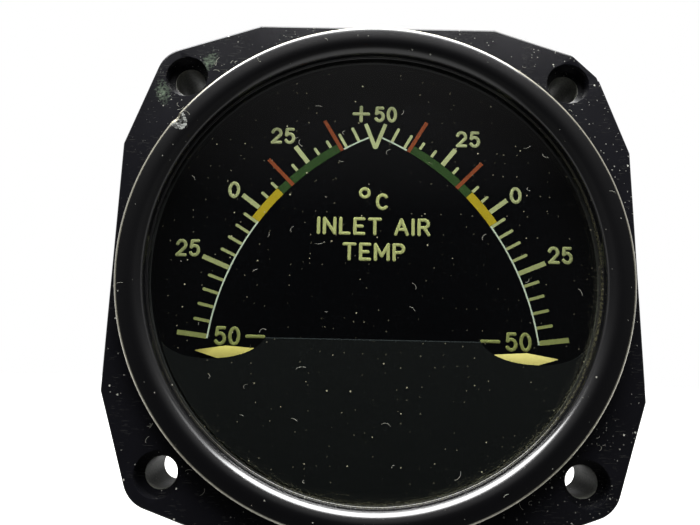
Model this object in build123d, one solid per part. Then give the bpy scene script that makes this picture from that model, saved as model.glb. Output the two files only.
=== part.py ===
from build123d import *
import math
import os

# A twin-pointer air temperature indicator for an aircraft panel.
# Millimetres.  X is right, Z is up, Y runs away from the viewer.
# The origin is the centre of the flange's front face.


# Overall proportions
HOLE_SQUARE = 62.865          # side of the square of the four mounting holes
HALF = HOLE_SQUARE / 2
FLANGE_HALF = 40.9            # flat side of the flange to the axis
FLAT_HALF = 19.6              # half length of that flat side
CORNER_R = 5.15               # rounding of each ear about its hole
FILED_CORNER = 4.15           # the upper right ear is filed down to this
FLANGE_T = 6.0
EAR_DEPTH = 12.0
COUNTERBORE_R = 3.475
COUNTERBORE_DEPTH = 2.4
EAR_HOLE_R = 2.4

# Bezel ring: everything round it follows from its outer radius
RING_R = 39.72
RING_TOP = 2.36
RING_LEDGE = 1.47             # how far the ring overlaps the flange
SLACK = 0.10                  # clearance between pieces that are pushed into each other
SKIRT_T = 1.10
SKIRT_OUT = RING_R - RING_LEDGE
SKIRT_IN = SKIRT_OUT - SKIRT_T
SKIRT_END = 4.6

# What sits behind the ring, from the glass to the dial
STACK_R = SKIRT_IN - SLACK
PACKING_W = 1.55
SIGHT_R = STACK_R - PACKING_W
LIP_R = SIGHT_R - 0.24
LIP_BACK = 0.35
GLASS_T = 1.60
GLASS_BACK = LIP_BACK + GLASS_T
GASKET_BACK = GLASS_BACK + 0.50
MASK_FRONT = GLASS_BACK + 0.25
MASK_T = 0.25
MASK_RISE = 5.28              # how far the mask reaches above the pivots
DIAL_FRONT = GLASS_BACK + 2.05
DIAL_T = 0.8
DIAL_BACK = DIAL_FRONT + DIAL_T

# Case
SOCKET_R = SKIRT_OUT + SLACK
SOCKET_DEPTH = SKIRT_END + 0.2
BARREL_R = SOCKET_R - 0.15
BARREL_BORE = BARREL_R - 2.6
CASE_BACK = 56.0
BACK_WALL = 3.0

# Pivots: the magnet about each one clears the bore of the case
YOKE_R = 12.0
YOKE_GAP = 0.534
PIVOT_ANGLE = math.radians(44.895)
PIVOT_REACH = BARREL_BORE - YOKE_R - YOKE_GAP
PIVOT_X = PIVOT_REACH * math.cos(PIVOT_ANGLE)
PIVOT_Z = -PIVOT_REACH * math.sin(PIVOT_ANGLE)

# Scale: the angles at which its coloured stretches start and end
LOW_ANGLE = 7.13
ARC_FROM = 6.75
ARC_TO = 66.0
YELLOW_FROM = 34.45
GREEN_FROM = 42.75
RED_AT = (45.7, 59.3)
SCALE_MARGIN = 2.72           # from the lowest mark's outer end to the ring


def reach_from_pivot(angle, limit):
    # how far from the pivot a line at this angle meets a circle about the dial's centre
    a = math.radians(angle)
    along = PIVOT_X * math.cos(a) - PIVOT_Z * math.sin(a)
    return along + math.sqrt(along ** 2 + limit ** 2 - PIVOT_REACH ** 2)


# Dial layout, about each pointer's pivot
MAJOR_R = reach_from_pivot(LOW_ANGLE, SIGHT_R - SCALE_MARGIN)
ARC_R = MAJOR_R - 4.87
ARC_W = 0.24
BAND_IN = ARC_R - ARC_W / 2   # the coloured bands cover the white arc
BAND_OUT = ARC_R + 1.29
MINOR_R = ARC_R + 2.54
RED_OUT = ARC_R + 6.0
MINOR_W = 0.48
MAJOR_W = 0.78
RED_W = 0.62
MARK_T = 0.06
MARK_GAP = 0.03               # bare dial between two paints
TOP_Z = PIVOT_Z + math.sqrt(ARC_R ** 2 - PIVOT_X ** 2)

# Pointers: the right one runs in front of the left one where they cross
POINTER_T = 0.25
LEFT_PLANE = DIAL_FRONT - 0.70
RIGHT_PLANE = DIAL_FRONT - 1.20
LEFT_LENGTH = ARC_R + 1.40
RIGHT_LENGTH = ARC_R + 2.30
LEFT_REST = 4.0
RIGHT_REST = 3.6
BLADE_HALF = 1.16
SHANK_HALF = 0.7
TIP_LENGTH = 4.7
NECK_R = ARC_R - 9.55          # where the thin shank widens to the blade
TRAVEL = 64.0

# Mechanism
FRONT_PLATE = (8.0, 9.5)
BASE_PLATE = (44.0, 46.5)
PLATE_R = BARREL_BORE - 1.1
PILLAR_REACH = PLATE_R - 5.5
LOW_PILLAR_REACH = PLATE_R - 3.5
REAR_POST_REACH = PLATE_R - 4.48
SPINDLE_R = 0.80
BUSH_R = 2.2
BUSH_BORE = 0.85
TRUNNION_R = 0.50
YOKE_BORE = 8.6
YOKE = (15.2, 32.8)
CORE_R = 6.3
CORE = (15.6, 32.4)
COIL = (13.9, 34.1)
COIL_OUT = 7.9
COIL_MID = 7.25
COIL_IN = 7.0

# Rear receptacle
FLANGE_SQ = 26.0
SCREW_SQ = 20.4
SHELL_R = 10.3
SHELL_BORE = 8.0
SHELL_END = 71.0
GASKET_T = 0.8
CUP_END = 50.8
PIN_END = SHELL_END - 3.0     # the contacts stop short of the shell's mouth
INSERT_END = SHELL_END - 7.0
INSERT_START = CASE_BACK - 2.6

# End stops
STOP_R = 0.5
STOP_REACH = 6.6
STOP_GAP = 18.8


def face_plane(y):
    return Plane(origin=(0, y, 0), x_dir=(1, 0, 0), z_dir=(0, -1, 0))


def slab(outline, y0, y1):
    return extrude(face_plane(y1) * outline, amount=y1 - y0)


def rod(r, y0, y1, x=0.0, z=0.0):
    return slab(Pos(x, z) * Circle(r), y0, y1)


def tube(r_out, r_in, y0, y1, x=0.0, z=0.0):
    return slab(Pos(x, z) * (Circle(r_out) - Circle(r_in)), y0, y1)


def hexagon(r, y0, y1, x, z, bore):
    outline = RegularPolygon(r, 6, major_radius=False) - Circle(bore)
    return slab(Pos(x, z) * outline, y0, y1)


def corners(half):
    return [(sx * half, sz * half) for sx in (-1, 1) for sz in (-1, 1)]


def gather(solids):
    # one piece kind, made of equal solids that do not touch each other
    found = []
    for solid in solids:
        found.extend(solid.solids())
    return Compound(children=found)


# Case with its square flange

def flange_outline():
    ears = Sketch() + [Pos(x, z) * Circle(CORNER_R) for x, z in corners(HALF)]
    flats = make_face(Polyline(
        (-FLANGE_HALF, -FLAT_HALF), (-FLANGE_HALF, FLAT_HALF),
        (-FLAT_HALF, FLANGE_HALF), (FLAT_HALF, FLANGE_HALF),
        (FLANGE_HALF, FLAT_HALF), (FLANGE_HALF, -FLAT_HALF),
        (FLAT_HALF, -FLANGE_HALF), (-FLAT_HALF, -FLANGE_HALF),
        close=True))
    outline = flats + ears
    for sx in (-1, 1):
        for sz in (-1, 1):
            outline += slope(sx, sz)
    return outline


def slope(sx, sz):
    # the slanted edges that run from each flat to the rounding of the ear
    reach = math.hypot(HALF - FLAT_HALF, FLANGE_HALF - HALF)
    start = math.atan2(FLANGE_HALF - HALF, FLAT_HALF - HALF)
    touch = start - math.acos(CORNER_R / reach)
    px = HALF + CORNER_R * math.cos(touch)
    pz = HALF + CORNER_R * math.sin(touch)
    pts = [(0, 0), (0, FLANGE_HALF), (FLAT_HALF, FLANGE_HALF), (px, pz),
           (HALF, HALF), (pz, px), (FLANGE_HALF, FLAT_HALF), (FLANGE_HALF, 0)]
    pts = [(sx * x, sz * z) for x, z in pts]
    return make_face(Polyline(*pts, close=True))


def ear_web(sx, sz):
    # the solid web between an ear's boss and the barrel
    mid = 0.5 * (HALF + BARREL_R * 0.70)
    web = Rectangle(14.0, 2 * 3.9)
    return Pos(sx * mid, sz * mid) * Rot(0, 0, 45 * sx * sz) * web


def make_case():
    body = slab(flange_outline(), 0, FLANGE_T)
    rim = body.edges().group_by(Axis.Y)[0]
    body = fillet(rim, 0.35)
    for x, z in corners(HALF):
        body += rod(CORNER_R - 0.25, FLANGE_T - 1, EAR_DEPTH, x, z)
        body += slab(ear_web(math.copysign(1, x), math.copysign(1, z)), FLANGE_T - 1, EAR_DEPTH)
    barrel = rod(BARREL_R, FLANGE_T - 1, CASE_BACK)
    barrel = fillet(barrel.edges().group_by(Axis.Y)[-1], 1.6)
    body += barrel
    body -= rod(SOCKET_R, -1, SOCKET_DEPTH)
    body -= rod(BARREL_BORE, SOCKET_DEPTH - 1, CASE_BACK - BACK_WALL)
    for x, z in corners(HALF):
        body -= rod(COUNTERBORE_R, -1, COUNTERBORE_DEPTH, x, z)
        body -= rod(EAR_HOLE_R, 0, EAR_DEPTH + 1, x, z)
    body -= filed_corner()
    body -= rod(9.0, CASE_BACK - BACK_WALL - 1, CASE_BACK + 1)
    for x, z in corners(SCREW_SQ / 2):
        body -= rod(1.25, CASE_BACK - BACK_WALL - 1, CASE_BACK + 1, x, z)
    for x, z in rear_post_places():
        body -= rod(1.5, CASE_BACK - BACK_WALL - 1, CASE_BACK + 1, x, z)
    return body


def filed_corner():
    d = (HALF + HALF) / math.sqrt(2) + FILED_CORNER
    cut = Pos((d + 5) / math.sqrt(2), (d + 5) / math.sqrt(2)) * Rot(0, 0, 45) * Rectangle(10, 30)
    nick = Pos(HALF + 5.1, HALF + 1.4) * Rot(0, 0, 20) * Rectangle(0.9, 1.6)
    return slab(cut, -1, EAR_DEPTH + 1) + slab(nick, -1, 3.0)


def rear_post_places():
    x = REAR_POST_REACH * math.cos(math.radians(30))
    return [(0, REAR_POST_REACH), (-x, -REAR_POST_REACH / 2), (x, -REAR_POST_REACH / 2)]


# Bezel ring

def make_bezel_ring():
    side_end = (RING_R, -(RING_TOP - 0.60))
    crown = (RING_R - 1.37, -RING_TOP)
    roll_end = (SIGHT_R, -(RING_TOP - 1.50))
    side = Line((RING_R, 0), side_end)
    rim = Spline(side_end, (RING_R - 0.07, -(RING_TOP - 0.28)), (RING_R - 0.26, -(RING_TOP - 0.08)),
                 (RING_R - 0.60, -(RING_TOP - 0.006)), crown, tangents=((0, -1), (-1, 0)))
    roll = Spline(crown, (SIGHT_R + 2.0, -(RING_TOP - 0.05)), (SIGHT_R + 1.4, -(RING_TOP - 0.19)),
                  (SIGHT_R + 0.8, -(RING_TOP - 0.48)), (SIGHT_R + 0.3, -(RING_TOP - 0.89)), roll_end,
                  tangents=((-1, 0), (0, 1)))
    step = Polyline(roll_end, (SIGHT_R, -0.12), (SIGHT_R - 0.04, -0.06), (LIP_R + 0.10, -0.05),
                    (LIP_R, 0.04), (LIP_R, LIP_BACK), (SKIRT_IN, LIP_BACK), (SKIRT_IN, SKIRT_END),
                    (SKIRT_OUT, SKIRT_END), (SKIRT_OUT, 0), (RING_R, 0))
    profile = make_face(Wire([*side.edges(), *rim.edges(), *roll.edges(), *step.edges()]))
    ring = revolve(profile, Axis.Y, 360)
    return ring - gouge()


def gouge():
    # a knock in the ring's outer edge, up on the left
    a = math.radians(144.2)
    x = (RING_R + 0.38) * math.cos(a)
    z = (RING_R + 0.38) * math.sin(a)
    cut = Pos(x, -(RING_TOP + 0.21), z) * Rot(0, -144.2 + 8, 0) * scale(Sphere(1.0), (2.1, 0.85, 1.15))
    return cut


# Glass, packing and dial

def make_dial_plate():
    plate = rod(STACK_R, DIAL_FRONT, DIAL_BACK)
    for sx in (-1, 1):
        plate -= rod(2.0, DIAL_FRONT - 1, DIAL_BACK + 1, sx * PIVOT_X, PIVOT_Z)
    for x, z in mask_pillar_places():
        plate -= rod(0.7, DIAL_FRONT - 1, DIAL_BACK + 1, x, z)
    for x, z in dial_screw_places():
        plate -= rod(0.9, DIAL_FRONT - 1, DIAL_BACK + 1, x, z)
    return plate


def mask_pillar_places():
    r = SIGHT_R - 2.33
    a = math.radians(30.43)
    return [(0, 2.17 - r), (-r * math.cos(a), -r * math.sin(a)), (r * math.cos(a), -r * math.sin(a))]


def dial_screw_places():
    return [(-9.0, 6.5 - SIGHT_R), (9.0, 6.5 - SIGHT_R)]


def make_dial_mask():
    # covers the pivots; each side dips like a crescent under the parked pointer
    rim = SIGHT_R - 0.35
    top_z = PIVOT_Z + MASK_RISE
    end_z = top_z - 1.0
    end_x = math.sqrt(rim * rim - end_z * end_z)
    tip_x = LEFT_LENGTH - PIVOT_X
    dips = [(-11.31, 0.0), (-9.21, -1.95), (-6.41, -2.98), (-2.81, -3.40), (0.99, -3.12), (3.39, -2.25)]
    dip_pts = [(tip_x + x, top_z + z) for x, z in dips] + [(end_x, end_z)]
    start_x = dip_pts[0][0]
    top = Line((-start_x, top_z), (start_x, top_z))
    right = Spline(*dip_pts)
    left = Spline(*[(-x, z) for x, z in dip_pts])
    bottom = ThreePointArc((end_x, end_z), (0, -rim), (-end_x, end_z))
    face = make_face(Wire([*top.edges(), *right.edges(), *bottom.edges(), *left.edges()]))
    return slab(face, MASK_FRONT, MASK_FRONT + MASK_T)


# Scale markings, laid out by the angle of each reading

def reading_angle(value):
    t = value / 50.0
    return 36.97 + 28.68 * t + 1.16 * t ** 3


def on_dial(side, r, angle):
    a = math.radians(angle)
    return (side * (PIVOT_X - r * math.cos(a)), PIVOT_Z + r * math.sin(a))


def stroke(p, q, width, rounded):
    dx = q[0] - p[0]
    dz = q[1] - p[1]
    length = math.hypot(dx, dz)
    turn = math.degrees(math.atan2(dz, dx))
    shape = Rectangle(length, width)
    if rounded:
        shape += Pos(length / 2, 0) * Circle(width / 2)
    return Pos((p[0] + q[0]) / 2, (p[1] + q[1]) / 2) * Rot(0, 0, turn) * shape


def mark(outline):
    return slab(outline, DIAL_FRONT - MARK_T, DIAL_FRONT)


def tick_outline(side, value):
    angle = reading_angle(value)
    major = value % 25 == 0
    inner = BAND_OUT + 0.05 if 0 <= value <= 35 else ARC_R + ARC_W / 2 + 0.02
    outer = MAJOR_R if major else MINOR_R
    width = MAJOR_W if major else MINOR_W
    return stroke(on_dial(side, inner, angle), on_dial(side, outer, angle), width, not major)


def make_scale_ticks():
    marks = []
    for side in (1, -1):
        for value in range(-50, 50, 5):
            if value == 15:
                continue
            marks.append(mark(tick_outline(side, value)))
    foot_z = TOP_Z - 2.24
    left = stroke((-1.68, TOP_Z + 1.98), (-0.05, foot_z), 0.64, False)
    right = stroke((1.68, TOP_Z + 1.98), (0.05, foot_z), 0.64, False)
    marks.append(mark(left + right + Pos(0, foot_z + 0.05) * Circle(0.30)))
    return gather(marks)


def sector_band(side, r_in, r_out, a0, a1):
    mid = 0.5 * (a0 + a1)
    outer = ThreePointArc(on_dial(side, r_out, a0), on_dial(side, r_out, mid), on_dial(side, r_out, a1))
    inner = ThreePointArc(on_dial(side, r_in, a0), on_dial(side, r_in, mid), on_dial(side, r_in, a1))
    ends = [Line(outer @ 0, inner @ 0), Line(outer @ 1, inner @ 1)]
    return make_face(Wire([*outer.edges(), *inner.edges(), *ends[0].edges(), *ends[1].edges()]))


def turn_for(length):
    # the angle about a pivot that a length takes up on the inner edge of the bands
    return math.degrees(length / BAND_IN)


def make_scale_arcs():
    # white below the yellow band and above the last red mark; the bands cover the rest
    red = turn_for(RED_W / 2 + MARK_GAP)
    marks = []
    for side in (1, -1):
        for a0, a1 in ((ARC_FROM, YELLOW_FROM - turn_for(MARK_GAP)), (RED_AT[1] + red, ARC_TO)):
            marks.append(mark(sector_band(side, ARC_R - ARC_W / 2, ARC_R + ARC_W / 2, a0, a1)))
    return gather(marks)


def make_bands(a0, a1):
    return gather([mark(sector_band(side, BAND_IN, BAND_OUT, a0, a1)) for side in (1, -1)])


def make_red_marks():
    # each crosses the coloured band and runs on outwards
    marks = []
    for side in (1, -1):
        for angle in RED_AT:
            line = stroke(on_dial(side, BAND_IN, angle), on_dial(side, RED_OUT, angle), RED_W, False)
            marks.append(mark(line))
    return gather(marks)


def make_green_bands():
    gap = turn_for(RED_W / 2 + MARK_GAP)
    marks = []
    for side in (1, -1):
        marks.append(mark(sector_band(side, BAND_IN, BAND_OUT, GREEN_FROM, RED_AT[0] - gap)))
        marks.append(mark(sector_band(side, BAND_IN, BAND_OUT, RED_AT[0] + gap, RED_AT[1] - gap)))
    return gather(marks)


# Pointers and what turns with them

def blade_outline(length):
    pts = [(-2.6, -SHANK_HALF), (NECK_R - 0.8, -SHANK_HALF), (NECK_R, -BLADE_HALF),
           (length - TIP_LENGTH, -BLADE_HALF), (length, -0.06), (length, 0.06),
           (length - TIP_LENGTH, BLADE_HALF), (NECK_R, BLADE_HALF), (NECK_R - 0.8, SHANK_HALF), (-2.6, SHANK_HALF)]
    return make_face(Polyline(*pts, close=True)) + Circle(2.2)


def turned(side, angle, outline):
    # the left pointer turns about the right-hand pivot and points left
    return Pos(side * PIVOT_X, PIVOT_Z) * Rot(0, 0, 180 - angle if side > 0 else angle) * outline


def make_pointer(side):
    plane = LEFT_PLANE if side > 0 else RIGHT_PLANE
    length = LEFT_LENGTH if side > 0 else RIGHT_LENGTH
    rest = LEFT_REST if side > 0 else RIGHT_REST
    blade = slab(turned(side, rest, blade_outline(length)), plane, plane + POINTER_T)
    hub_back = plane + POINTER_T + (0.30 if side > 0 else 0.10)
    hub = rod(1.45, plane - 0.05, hub_back, side * PIVOT_X, PIVOT_Z)
    bore = rod(SPINDLE_R, plane - 1, hub_back + 1, side * PIVOT_X, PIVOT_Z)
    return blade + hub - bore


def make_front_spindle(side):
    x = side * PIVOT_X
    front = (LEFT_PLANE if side > 0 else RIGHT_PLANE) - 0.05
    shaft = rod(SPINDLE_R, front, COIL[0] - 0.4, x, PIVOT_Z)
    collet = rod(1.6, 10.9, 12.0, x, PIVOT_Z)
    foot = rod(1.7, COIL[0] - 0.5, COIL[0], x, PIVOT_Z)
    return shaft + collet + foot


def make_rear_spindle(side):
    x = side * PIVOT_X
    foot = rod(1.7, COIL[1], COIL[1] + 0.5, x, PIVOT_Z)
    shaft = rod(SPINDLE_R, COIL[1] + 0.4, 42.6, x, PIVOT_Z)
    collet = rod(1.6, 38.0, 39.1, x, PIVOT_Z)
    trunnion = rod(TRUNNION_R, 42.5, 45.5, x, PIVOT_Z)
    return shaft + foot + collet + trunnion


def coil_loop(side, out, inner, y_end, width):
    # set so that the middle of the travel lies level between the core's supports
    tilt = TRAVEL / 2 * (1 if side > 0 else -1)
    y0 = COIL[0] + y_end
    y1 = COIL[1] - y_end
    wall = out - inner
    place = Pos(side * PIVOT_X, PIVOT_Z) * Rot(0, 0, tilt)
    block = slab(place * Rectangle(2 * out, width), y0, y1)
    window = slab(place * Rectangle(2 * inner, width + 2), y0 + wall, y1 - wall)
    return block - window


def make_coil_winding(side):
    return coil_loop(side, COIL_OUT, COIL_MID, 0.0, 3.2)


def make_coil_former(side):
    return coil_loop(side, COIL_MID, COIL_IN, COIL_OUT - COIL_MID, 4.0)


def make_balance(side):
    # a cross arm behind the dial whose weights balance the long pointer
    rest = LEFT_REST if side > 0 else RIGHT_REST
    arm = Rectangle(9.0, 1.3).moved(Location((-4.2, 0)))
    arms = arm + Rectangle(1.2, 10.0) + Circle(1.7)
    body = slab(turned(side, rest, arms), 5.9, 6.5)
    weights = Pos(-7.6, 0) * Circle(1.9) + Pos(0, 4.4) * Circle(0.95) + Pos(0, -4.4) * Circle(0.95)
    body += slab(turned(side, rest, weights), 5.5, 6.9)
    body += rod(1.7, 5.5, 6.9, side * PIVOT_X, PIVOT_Z)
    return body - rod(SPINDLE_R, 5, 8, side * PIVOT_X, PIVOT_Z)


def spiral_face(turns, r0, r1, width):
    steps = int(turns * 14)
    inner = []
    outer = []
    for i in range(steps + 1):
        a = 2 * math.pi * turns * i / steps
        r = r0 + (r1 - r0) * i / steps
        inner.append(((r - width / 2) * math.cos(a), (r - width / 2) * math.sin(a)))
        outer.append(((r + width / 2) * math.cos(a), (r + width / 2) * math.sin(a)))
    one = Spline(*inner)
    two = Spline(*outer)
    ends = [Line(one @ 0, two @ 0), Line(one @ 1, two @ 1)]
    return make_face(Wire([*one.edges(), *two.edges(), *ends[0].edges(), *ends[1].edges()]))


SPRING_END = 6.0


def make_hairspring(side, y0):
    turns = 3.75
    face = spiral_face(turns, 1.6 + 0.08, SPRING_END, 0.18)
    placed = Pos(side * PIVOT_X, PIVOT_Z) * face
    return slab(placed, y0, y0 + 0.8)


def spring_stud(side, y0, y1):
    # the spiral ends three quarters of a turn round, straight below the pivot
    return rod(0.7, y0, y1, side * PIVOT_X, PIVOT_Z - SPRING_END - 0.09 - 0.7)


def make_spring_studs():
    studs = []
    for side in (1, -1):
        studs.append(spring_stud(side, FRONT_PLATE[1], 12.1))
        studs.append(spring_stud(side, 37.9, BASE_PLATE[0]))
    return gather(studs)


# Magnet system

def make_yokes():
    rings = []
    for side in (1, -1):
        ring = tube(YOKE_R, YOKE_BORE, YOKE[0], YOKE[1], side * PIVOT_X, PIVOT_Z)
        for sz in (-1, 1):
            ring -= rod(0.9, YOKE[1] - 5, YOKE[1] + 1, side * PIVOT_X, PIVOT_Z + sz * 10.3)
        rings.append(ring)
    return gather(rings)


def make_cores():
    return gather([rod(CORE_R, CORE[0], CORE[1], s * PIVOT_X, PIVOT_Z) for s in (1, -1)])


def make_core_supports():
    parts = []
    for side in (1, -1):
        for sz in (-1, 1):
            sector = (Circle(YOKE_BORE) - Circle(CORE_R)) & (Pos(0, sz * 7.5) * Rectangle(4.6, 5.0))
            parts.append(slab(Pos(side * PIVOT_X, PIVOT_Z) * sector, 19.0, 29.0))
    return gather(parts)


def make_yoke_posts():
    posts = []
    for side in (1, -1):
        for sz in (-1, 1):
            x = side * PIVOT_X
            z = PIVOT_Z + sz * 10.3
            post = rod(1.65, YOKE[1], BASE_PLATE[0], x, z) + rod(0.9, YOKE[1] - 4.5, YOKE[1] + 1, x, z)
            posts.append(post - rod(0.9, 39.0, BASE_PLATE[0] + 1, x, z))
    return gather(posts)


def screw(x, z, head_r, head_y0, head_y1, shank_r, tip_y):
    # a cheese-head screw whose slot is cut in the face that is away from its tip
    forward = tip_y < head_y0
    head = rod(head_r, head_y0, head_y1, x, z)
    if forward:
        slot_at = (head_y1 - 0.4 * (head_y1 - head_y0), head_y1 + 1)
        shank = rod(shank_r, tip_y, head_y0 + 0.1, x, z)
    else:
        slot_at = (head_y0 - 1, head_y0 + 0.4 * (head_y1 - head_y0))
        shank = rod(shank_r, head_y1 - 0.1, tip_y, x, z)
    slot = slab(Pos(x, z) * Rot(0, 0, 25) * Rectangle(2 * head_r + 1, 0.24 * head_r + 0.2), *slot_at)
    return head + shank - slot


def make_yoke_screws():
    return gather([screw(s * PIVOT_X, PIVOT_Z + sz * 10.3, 1.9, BASE_PLATE[1], BASE_PLATE[1] + 1.1, 0.9, 39.4)
                   for s in (1, -1) for sz in (-1, 1)])


# Plates, pillars and bearings

def pillar_places():
    a = math.radians(43.6)
    x = PILLAR_REACH * math.cos(a)
    z = PILLAR_REACH * math.sin(a)
    return [(-x, z), (x, z), (0.0, -LOW_PILLAR_REACH)]


def make_front_plate():
    plate = rod(PLATE_R, *FRONT_PLATE)
    y0 = FRONT_PLATE[0] - 1
    y1 = FRONT_PLATE[1] + 1
    for side in (1, -1):
        plate -= rod(BUSH_R, y0, y1, side * PIVOT_X, PIVOT_Z)
        plate -= slab(Pos(side * 13.0, 6.0) * RectangleRounded(13.0, 12.0, 3.0), y0, y1)
        plate -= rod(STOP_R, y0, y1, *stop_place(side, -STOP_GAP))
        plate -= rod(STOP_R, y0, y1, *stop_place(side, TRAVEL + STOP_GAP))
    for x, z in pillar_places():
        plate -= rod(1.2, y0, y1, x, z)
    for x, z in dial_screw_places():
        plate -= rod(0.9, y0, y1, x, z)
    return plate


def make_base_plate():
    plate = rod(PLATE_R, *BASE_PLATE)
    y0 = BASE_PLATE[0] - 1
    y1 = BASE_PLATE[1] + 1
    for side in (1, -1):
        plate -= rod(BUSH_R, y0, y1, side * PIVOT_X, PIVOT_Z)
        for sz in (-1, 1):
            plate -= rod(0.9, y0, y1, side * PIVOT_X, PIVOT_Z + sz * 10.3)
        plate -= rod(1.1, y0, y1, side * 12.0, 12.0)
    for x, z in pillar_places():
        plate -= rod(1.2, y0, y1, x, z)
    for x, z in rear_post_places():
        plate -= rod(1.5, y0, y1, x, z)
    for x in terminal_screw_x():
        plate -= rod(0.8, y0, y1, x, 19.5)
    return plate


def make_front_bushes():
    return gather([tube(BUSH_R, BUSH_BORE, 7.4, 10.2, s * PIVOT_X, PIVOT_Z) for s in (1, -1)])


def make_rear_bushes():
    bushes = []
    for side in (1, -1):
        bush = rod(BUSH_R, 43.0, 47.0, side * PIVOT_X, PIVOT_Z)
        bushes.append(bush - rod(TRUNNION_R + 0.04, 42.0, 45.7, side * PIVOT_X, PIVOT_Z))
    return gather(bushes)


def make_plate_pillars():
    pillars = []
    for x, z in pillar_places():
        pillar = rod(2.3, FRONT_PLATE[1], BASE_PLATE[0], x, z)
        pillars.append(pillar + rod(1.2, FRONT_PLATE[0] - 1.3, BASE_PLATE[1] + 1.4, x, z))
    return gather(pillars)


def make_pillar_nuts():
    nuts = []
    for x, z in pillar_places():
        nuts.append(hexagon(2.3, FRONT_PLATE[0] - 1.1, FRONT_PLATE[0], x, z, 1.2))
        nuts.append(hexagon(2.3, BASE_PLATE[1], BASE_PLATE[1] + 1.2, x, z, 1.2))
    return gather(nuts)


def stop_place(side, beyond):
    # on the circle that the balance arm sweeps, just past each end of its travel
    rest = LEFT_REST if side > 0 else RIGHT_REST
    a = math.radians(rest + beyond)
    return (side * (PIVOT_X + STOP_REACH * math.cos(a)), PIVOT_Z - STOP_REACH * math.sin(a))


def make_stop_pins():
    return gather([rod(STOP_R, 5.7, FRONT_PLATE[1], *stop_place(s, b))
                   for s in (1, -1) for b in (-STOP_GAP, TRAVEL + STOP_GAP)])


def make_mask_pillars():
    return gather([rod(1.5, MASK_FRONT + MASK_T, DIAL_FRONT, x, z) + rod(0.7, DIAL_FRONT - 0.1, 5.9, x, z)
                   for x, z in mask_pillar_places()])


def make_mask_nuts():
    return gather([hexagon(1.5, DIAL_BACK, DIAL_BACK + 0.8, x, z, 0.7) for x, z in mask_pillar_places()])


def make_dial_posts():
    return gather([tube(1.8, 0.9, DIAL_BACK, FRONT_PLATE[0], x, z) for x, z in dial_screw_places()])


def make_dial_screws():
    return gather([screw(x, z, 1.7, DIAL_FRONT - 0.75, DIAL_FRONT, 0.9, FRONT_PLATE[1])
                   for x, z in dial_screw_places()])


def make_rear_posts():
    posts = []
    for x, z in rear_post_places():
        post = rod(2.9, BASE_PLATE[1], CASE_BACK - BACK_WALL, x, z)
        post += rod(1.5, BASE_PLATE[0] - 1.4, BASE_PLATE[1] + 1, x, z)
        posts.append(post - rod(1.5, 48.5, CASE_BACK, x, z))
    return gather(posts)


def make_rear_nuts():
    return gather([hexagon(2.7, BASE_PLATE[0] - 1.2, BASE_PLATE[0], x, z, 1.5) for x, z in rear_post_places()])


def make_case_screws():
    return gather([screw(x, z, 3.0, CASE_BACK, CASE_BACK + 2.0, 1.5, 49.0) for x, z in rear_post_places()])


# Series resistors and the wiring behind the base plate

def make_resistor_bobbins():
    bobbins = []
    for side in (1, -1):
        x = side * 12.0
        bobbin = rod(5.0, 35.5, 36.5, x, 12.0) + rod(2.4, 36.0, 44.0, x, 12.0) + rod(5.0, 43.0, 44.0, x, 12.0)
        bobbins.append(bobbin - rod(1.1, 35.0, 45.0, x, 12.0))
    return gather(bobbins)


def make_resistor_windings():
    return gather([tube(4.4, 2.4, 36.5, 43.0, s * 12.0, 12.0) for s in (1, -1)])


def make_resistor_screws():
    return gather([screw(s * 12.0, 12.0, 2.0, 34.3, 35.5, 1.1, BASE_PLATE[1]) for s in (1, -1)])


def terminal_screw_x():
    return (-13.0, 13.0)


def lug_x():
    return (-8.0, -2.7, 2.7, 8.0)


def make_terminal_strip():
    strip = slab(Pos(0, 19.5) * RectangleRounded(31.0, 5.0, 0.8), BASE_PLATE[1], BASE_PLATE[1] + 1.6)
    for x in terminal_screw_x():
        strip -= rod(0.8, BASE_PLATE[1] - 1, BASE_PLATE[1] + 3, x, 19.5)
    return strip


def make_terminal_screws():
    return gather([screw(x, 19.5, 1.5, BASE_PLATE[1] + 1.6, BASE_PLATE[1] + 2.5, 0.8, BASE_PLATE[0])
                   for x in terminal_screw_x()])


def make_terminal_lugs():
    lugs = []
    for x in lug_x():
        lugs.append(slab(Pos(x, 18.9) * Rectangle(1.6, 5.6), BASE_PLATE[1] + 1.6, BASE_PLATE[1] + 2.0)
                    + rod(1.0, BASE_PLATE[1] + 1.9, BASE_PLATE[1] + 2.6, x, 20.2))
    return gather(lugs)


def contact_places():
    return [(5.0 * math.cos(math.radians(90 + 72 * i)), 5.0 * math.sin(math.radians(90 + 72 * i))) for i in range(5)]


def make_lead_wires():
    # from four of the contacts' solder cups to the lugs of the strip
    wires = []
    for x, (px, pz) in zip(lug_x(), contact_places()[1:]):
        start = (px, CUP_END, pz)
        end = (x, BASE_PLATE[1] + 1.8, 16.1)
        low = (0.7 * px + 0.3 * x, BASE_PLATE[1] + 1.7, 0.75 * pz + 0.25 * 16.1)
        path = Spline(start, low, end, tangents=((0, -1, 0), (0, 0, 1)), tangent_scalars=(0.6, 0.6))
        end_plane = Plane(origin=path @ 0, z_dir=path % 0)
        wires.append(sweep(end_plane * Circle(0.42), path=path))
    return gather(wires)


# Receptacle on the back

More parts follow.
